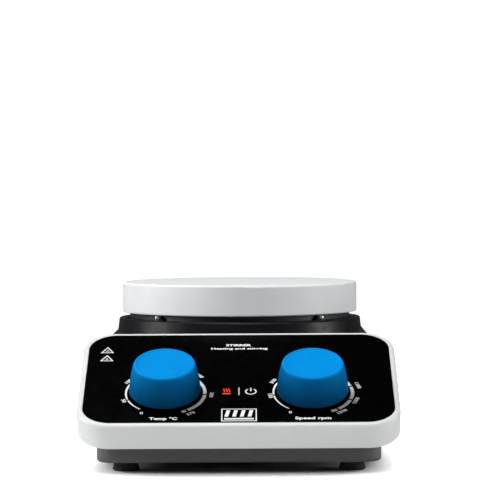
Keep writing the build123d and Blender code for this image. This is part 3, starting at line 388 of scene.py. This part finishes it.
class Marks:
    """Flat marks drawn on a plane, gathered into one mesh of closed solids."""

    def __init__(self, name, material, body, slot, ink=INK):
        self.name, self.material = name, material
        self.body, self.slot, self.ink = body, slot, ink
        self.mesh = bmesh.new()
        self.tone = self.mesh.verts.layers.float.new(TONE_LAYER)

    def strip(self, place, inner, outer, tone=1.0, closed=False):
        """A band between two rows of points, as one closed solid."""
        low, high = self.ink
        loops = []
        for a, b in zip(inner, outer):
            corners = [(*a, low), (*b, low), (*b, high), (*a, high)]
            loops.append([self.mesh.verts.new(place @ Vector(c)) for c in corners])
        for i, loop in enumerate(loops):
            shade_here = tone(i / (len(loops) - 1)) if callable(tone) else tone
            for vert in loop:
                vert[self.tone] = shade_here
        pairs = list(zip(loops, loops[1:])) + ([(loops[-1], loops[0])] if closed else [])
        for one, two in pairs:
            for i in range(4):
                self.mesh.faces.new((one[i], two[i], two[(i + 1) % 4], one[(i + 1) % 4]))
        if not closed:
            self.mesh.faces.new(loops[0][::-1])
            self.mesh.faces.new(loops[-1])

    def arc(self, place, start, end, inner, outer, tone=1.0, centre=(0, 0)):
        """An arc between clock angles in degrees.

        inner and outer are radii, or pairs of the radius at the start and at the end.
        """
        inner = inner if isinstance(inner, tuple) else (inner, inner)
        outer = outer if isinstance(outer, tuple) else (outer, outer)
        count = max(4, int(abs(end - start) / ARC_STEP))
        rows = ([], [])
        for i in range(count + 1):
            share = i / count
            angle = math.radians(start + (end - start) * share)
            for row, radii in zip(rows, (inner, outer)):
                r = radii[0] + (radii[1] - radii[0]) * share
                row.append((centre[0] + r * math.sin(angle), centre[1] + r * math.cos(angle)))
        self.strip(place, *rows, tone)

    def line(self, place, points, width, tone=1.0, closed=False):
        """A line of even width along the points, with mitred corners."""
        rows = ([], [])
        count = len(points)
        for i, point in enumerate(points):
            before = Vector(points[i - 1]) if i or closed else None
            after = Vector(points[(i + 1) % count]) if i < count - 1 or closed else None
            here = Vector(point)
            into = (here - before).normalized() if before is not None else None
            out = (after - here).normalized() if after is not None else None
            into, out = into or out, out or into
            side = Vector((-into.y - out.y, into.x + out.x))
            side = side / side.length_squared * 2 * (width / 2)
            rows[0].append((here.x - side.x, here.y - side.y))
            rows[1].append((here.x + side.x, here.y + side.y))
        self.strip(place, *rows, tone, closed)

    def text(self, place, words, x, v, height, tone=1.0, angle=0.0, wide=1.3, bold=0.02):
        """Lettering centred on (x, v), turned clockwise by angle, with capitals of that height."""
        curve = bpy.data.curves.new(words, "FONT")
        curve.body = words
        curve.align_x = "CENTER"
        curve.align_y = "CENTER"
        curve.offset = bold
        curve.resolution_u = 3
        curve.extrude = 0.5
        letters = bpy.data.objects.new(words, curve)
        scene.collection.objects.link(letters)
        bpy.context.view_layer.update()
        graph = bpy.context.evaluated_depsgraph_get()
        flat = bpy.data.meshes.new_from_object(letters.evaluated_get(graph))
        low, high = self.ink
        size = height / CAPITAL_SHARE
        turn = Matrix.Rotation(-math.radians(angle), 4, "Z")
        grow = Matrix.Diagonal((size * wide, size, high - low, 1))
        flat.transform(place @ Matrix.Translation((x, v, (low + high) / 2)) @ turn @ grow)
        known = len(self.mesh.verts)
        self.mesh.from_mesh(flat)
        self.mesh.verts.ensure_lookup_table()
        for vert in self.mesh.verts[known:]:
            vert[self.tone] = tone
        bpy.data.objects.remove(letters)
        bpy.data.meshes.remove(flat)

    def done(self):
        bmesh.ops.remove_doubles(self.mesh, verts=self.mesh.verts, dist=1e-7)
        bmesh.ops.recalc_face_normals(self.mesh, faces=self.mesh.faces)
        mesh = bpy.data.meshes.new(self.name)
        self.mesh.to_mesh(mesh)
        self.mesh.free()
        mesh.materials.append(self.material)
        made = bpy.data.objects.new(self.name, mesh)
        scene.collection.objects.link(made)
        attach(made, self.body)


SCALE_ENDS = (-142, 154)  # clock angles
SCALE_INNER_R = 19.9
SCALE_START_R = 20.6
SCALE_WIDENING = 1.4
TICK_GAP = 1.6  # degrees left open on each side of a number's tick
FADE_START = 60  # clock angle where the arc starts to fade
LABEL_X = -0.2
LABEL_V = -25.4


def dial_scale(name, place, numbers, label, label_wide):
    """The widening arc round a knob, its numbers and its label.

    Each number is (clock angle, radius, words, tone).
    """
    marks = Marks(name, white_print, "chassis", "black_film")
    first, last = SCALE_ENDS
    ticks = [number[0] for number in numbers if first < number[0] < last - 5]
    stops = [first, *ticks, last]

    def radius(angle):
        return SCALE_START_R + SCALE_WIDENING * (angle - first) / (last - first)

    def tone_at(angle):
        if angle < FADE_START:
            return 1.0
        return max(0.3, 1.0 - (angle - FADE_START) / 60)

    for start, end in zip(stops, stops[1:]):
        a = start + (TICK_GAP if start > first else 0)
        b = end - (TICK_GAP if end < last else 0)
        outer = (radius(a), radius(b))
        marks.arc(place, a, b, SCALE_INNER_R, outer, lambda s, a=a, b=b: tone_at(a + (b - a) * s))
    for angle, r, words, tone in numbers:
        turned = math.radians(angle)
        level = angle - 180 if abs(angle) > 95 else angle
        level = 0 if words == "0" else level
        spot = (r * math.sin(turned), r * math.cos(turned))
        marks.text(place, words, *spot, 2.0, tone, level, 1.15, 0.02)
    marks.text(place, label, LABEL_X, LABEL_V, 2.3, 1.0, 0, label_wide, 0.035)
    marks.done()


TEMP_NUMBERS = [
    (-150, 23.0, "0", 1),
    (-110, 22.5, "50", 1),
    (-60, 22.7, "100", 1),
    (-24, 24.0, "150", 1),
    (10, 24.0, "200", 1),
    (46, 24.6, "250", 1),
    (95, 24.2, "300", 0.45),
    (146, 24.7, "370", 0.4),
]
SPEED_NUMBERS = [
    (-149, 23.0, "0", 1),
    (-98, 22.3, "150", 1),
    (-61, 23.2, "300", 1),
    (-24, 24.0, "500", 1),
    (8, 24.0, "700", 1),
    (39, 24.4, "900", 1),
    (74, 24.7, "1100", 0.8),
    (111, 23.9, "1300", 0.5),
    (143, 24.2, "1500", 0.5),
]
dial_scale("temp_scale_print", temp_dial, TEMP_NUMBERS, "Temp °C", 1.17)
dial_scale("speed_scale_print", speed_dial, SPEED_NUMBERS, "Speed rpm", 1.3)

# title, in two plain lines
title = Marks("title_print", white_print, "chassis", "black_film")
title.text(panel, "STIRRER", -0.3, 48.9, 1.9, 1.0, 0, 1.36, 0.035)
title.text(panel, "Heating and stirring", 0.1, 45.3, 1.7, 1.0, 0, 1.57, 0.03)
title.done()

# two plain triangles, one above the other
triangles = Marks("corner_triangles_print", white_print, "chassis", "black_film")
for x, v in ((-70.6, 44.2), (-70.5, 35.7)):
    outline = [(x - 3.1, v - 2.6), (x + 3.1, v - 2.6), (x, v + 2.9)]
    triangles.line(panel, outline, 0.55, closed=True)
    triangles.line(panel, [(x - 0.9, v - 1.1), (x + 0.9, v - 1.1)], 0.5, 0.8)
    triangles.line(panel, [(x - 0.45, v + 0.1), (x + 0.45, v + 0.1)], 0.5, 0.8)
triangles.done()

# lit heat symbol: three rising waves over a bar
heat = Marks("heat_symbol_print", red_print, "chassis", "clear_plastic")
HEAT_X, ICON_V = -6.3, 1.2
WAVE_STEPS = 12
WAVE_SWAY = 0.28
WAVE_TALL = 3.5
for x in (-1.35, 0.0, 1.35):
    wave = []
    for i in range(WAVE_STEPS + 1):
        sway = WAVE_SWAY * math.sin(i / WAVE_STEPS * 2 * math.pi)
        wave.append((HEAT_X + x + sway, ICON_V - 0.7 + WAVE_TALL * i / WAVE_STEPS))
    heat.line(panel, wave, 0.48)
heat.line(panel, [(HEAT_X - 2.2, ICON_V - 2.2), (HEAT_X + 2.2, ICON_V - 2.2)], 0.9)
heat.done()

# power symbol over its key, and the bar between the two symbols
power = Marks("power_symbol_print", white_print, "chassis", "black_film")
POWER_X = 6.3
power.arc(panel, 34, 326, 2.35, 3.05, centre=(POWER_X, ICON_V - 0.2))
power.line(panel, [(POWER_X, ICON_V + 0.1), (POWER_X, ICON_V + 3.4)], 0.75)
power.line(panel, [(0.1, ICON_V - 3.7), (0.1, ICON_V + 3.7)], 0.7, 0.62)
power.done()

# plain badge: a framed plate with a block pattern and a thin bar
badge = Marks("badge_print", white_print, "chassis", "black_film")
BADGE_V = -22.0
BADGE_LEFT, BADGE_RIGHT = -8.6, 9.0
BADGE_HALF = 5.7
BLOCK_PITCH = 3.95
low, high = BADGE_V - BADGE_HALF, BADGE_V + BADGE_HALF
outline = [(BADGE_LEFT, low), (BADGE_RIGHT, low), (BADGE_RIGHT, high), (BADGE_LEFT, high)]
badge.line(panel, outline, 0.6, closed=True)
for i in range(4):
    x = -7.3 + BLOCK_PITCH * i
    left = [(x, BADGE_V - 1.6), (x + 1.1, BADGE_V + 4.6)]
    right = [(x + 1.9, BADGE_V - 1.6), (x + 3.0, BADGE_V + 4.6)]
    badge.strip(panel, left, right)
badge.line(panel, [(-7.4, BADGE_V - 3.7), (7.8, BADGE_V - 3.7)], 1.5, 0.85)
badge.done()

# on and off marks on the mains rocker, a bar and a ring
pivot = Vector(joints["rocker_tilt"]["pos_m"])
TIP = math.radians(9.0)  # half the rocker's travel
HOLLOW_DEPTH, HALF_FACE = 1.2, 7.6
HOLLOW = math.atan2(HOLLOW_DEPTH, HALF_FACE)
for name, sign in (("rocker_on_mark", 1), ("rocker_off_mark", -1)):
    lean = TIP - sign * HOLLOW
    up = Vector((0, -math.sin(lean), math.cos(lean)))
    half = 3.9 * MM * sign
    out = Vector((0, math.cos(TIP), math.sin(TIP)))
    rise = Vector((0, -math.sin(TIP), math.cos(TIP)))
    centre = pivot + out * (4.2 * MM + HOLLOW_DEPTH / HALF_FACE * abs(half)) + rise * half
    marks = Marks(name, white_print, "rocker", "black_plastic", (-0.02, 0.03))
    face = plane(centre, Vector((-1, 0, 0)), up)
    if sign > 0:
        marks.line(face, [(0, -1.3), (0, 1.3)], 0.6, 0.9)
    else:
        marks.arc(face, 0, 350, 1.0, 1.5, 0.9)
    marks.done()

# ---------------------------------------------------------------- stage, light and camera

stir = Vector(joints["rotor_spin"]["pos_m"])


def backdrop():
    """A pale floor that sweeps up behind the object."""
    mesh = bmesh.new()
    bend_start, bend = 1.2, 0.8
    profile = [(-3.0, 0.0), (bend_start, 0.0)]
    for i in range(1, 13):
        angle = math.radians(90 * i / 12)
        profile.append((bend_start + bend * math.sin(angle), bend - bend * math.cos(angle)))
    profile.append((2.0, 3.0))
    rows = [[mesh.verts.new((x, y, z)) for x in (-4.0, 4.0)] for y, z in profile]
    for one, two in zip(rows, rows[1:]):
        mesh.faces.new((one[0], one[1], two[1], two[0]))
    sheet = bpy.data.meshes.new("floor")
    mesh.to_mesh(sheet)
    mesh.free()
    f = Finish("floor_white", 0.7, specular=0.2)
    # distance from the object's middle, measured by a rounded rectangle twice as long as it is wide
    place = f.node("ShaderNodeMapping", Vector=f.where, Scale=(1.0, 0.5, 1.0)).outputs["Vector"]
    squares = f.tree.nodes.new("ShaderNodeVectorMath")
    squares.operation = "MULTIPLY"
    fourths = f.tree.nodes.new("ShaderNodeVectorMath")
    fourths.operation = "DOT_PRODUCT"
    for socket in squares.inputs[:2]:
        f.tree.links.new(place, socket)
    for socket in fourths.inputs[:2]:
        f.tree.links.new(squares.outputs["Vector"], socket)
    far = f.node("ShaderNodeMath", Value=fourths.outputs["Value"])
    far.operation = "POWER"
    far.inputs[1].default_value = 0.25
    near = f.mix(f.remap(f.noise(60.0), 0.0, 1.0), (0.86, 0.86, 0.86, 1), (0.9, 0.9, 0.9, 1))
    # darker away from the object, so that the floor throws less light back at it
    away = f.remap(far.outputs["Value"], 0.0, 1.0, 0.12, 0.25)
    f.set("Base Color", f.mix(away, near, (0.3, 0.3, 0.3, 1)))
    # away from the object the sweep is lit up to plain white, for the camera only
    glow = f.tree.nodes.new("ShaderNodeMath")
    glow.operation = "MULTIPLY"
    f.tree.links.new(f.remap(far.outputs["Value"], 0.0, 1.0, 0.07, 0.088), glow.inputs[0])
    f.tree.links.new(f.node("ShaderNodeLightPath").outputs["Is Camera Ray"], glow.inputs[1])
    f.set("Emission Strength", glow.outputs[0])
    f.shader.inputs["Emission Color"].default_value = (1, 1, 1, 1)
    f.bump(f.noise(1.5), 0.02)
    sheet.materials.append(f.material)
    made = bpy.data.objects.new("floor", sheet)
    scene.collection.objects.link(made)
    for polygon in sheet.polygons:
        polygon.use_smooth = True


def softbox(name, position, target, width, depth, watts):
    light = bpy.data.lights.new(name, "AREA")
    light.shape = "RECTANGLE"
    light.size, light.size_y = width, depth
    light.energy = watts
    made = bpy.data.objects.new(name, light)
    scene.collection.objects.link(made)
    made.location = position
    made.rotation_euler = (Vector(target) - Vector(position)).to_track_quat("-Z", "Y").to_euler()


backdrop()
softbox("top_softbox", (-0.1, -0.2, 1.2), (0, -0.1, 0), 1.2, 0.8, 12.3)
softbox("front_softbox", (-0.2, -0.9, 1.15), (0, -0.1, 0.03), 0.7, 0.5, 6.6)
softbox("left_softbox", (-1.3, -0.15, 0.45), (0, -0.02, 0.06), 0.5, 0.5, 12.5)
softbox("right_softbox", (1.3, -0.15, 0.3), (0, -0.02, 0.06), 0.4, 0.4, 7.2)

world = bpy.data.worlds.new("studio")
scene.world = world
world.use_nodes = True
background = world.node_tree.nodes["Background"]
background.inputs["Color"].default_value = (1, 1, 1, 1)
camera_only = world.node_tree.nodes.new("ShaderNodeLightPath")
strength = world.node_tree.nodes.new("ShaderNodeMapRange")
strength.inputs["To Min"].default_value = 0.03
world.node_tree.links.new(camera_only.outputs["Is Camera Ray"], strength.inputs["Value"])
world.node_tree.links.new(strength.outputs["Result"], background.inputs["Strength"])

CAMERA_BACK = 1.326  # from the stirring axis
CAMERA_SIDE = 0.007
CAMERA_HEIGHT = 0.1428
CAMERA_DOWN = 1.106
CAMERA_YAW = 0.285
CAMERA_ROLL = -0.3
lens = bpy.data.cameras.new("camera")
lens.lens = 172.0
lens.sensor_width = 36.0
lens.clip_end = 20.0
camera = bpy.data.objects.new("camera", lens)
scene.collection.objects.link(camera)
camera.location = (CAMERA_SIDE, stir.y - CAMERA_BACK, CAMERA_HEIGHT)
yaw = Matrix.Rotation(math.radians(CAMERA_YAW), 4, "Z")
pitch = Matrix.Rotation(math.radians(90 - CAMERA_DOWN), 4, "X")
roll = Matrix.Rotation(math.radians(CAMERA_ROLL), 4, "Z")
camera.rotation_euler = (yaw @ pitch @ roll).to_euler()
scene.camera = camera
scene.view_settings.view_transform = "Standard"
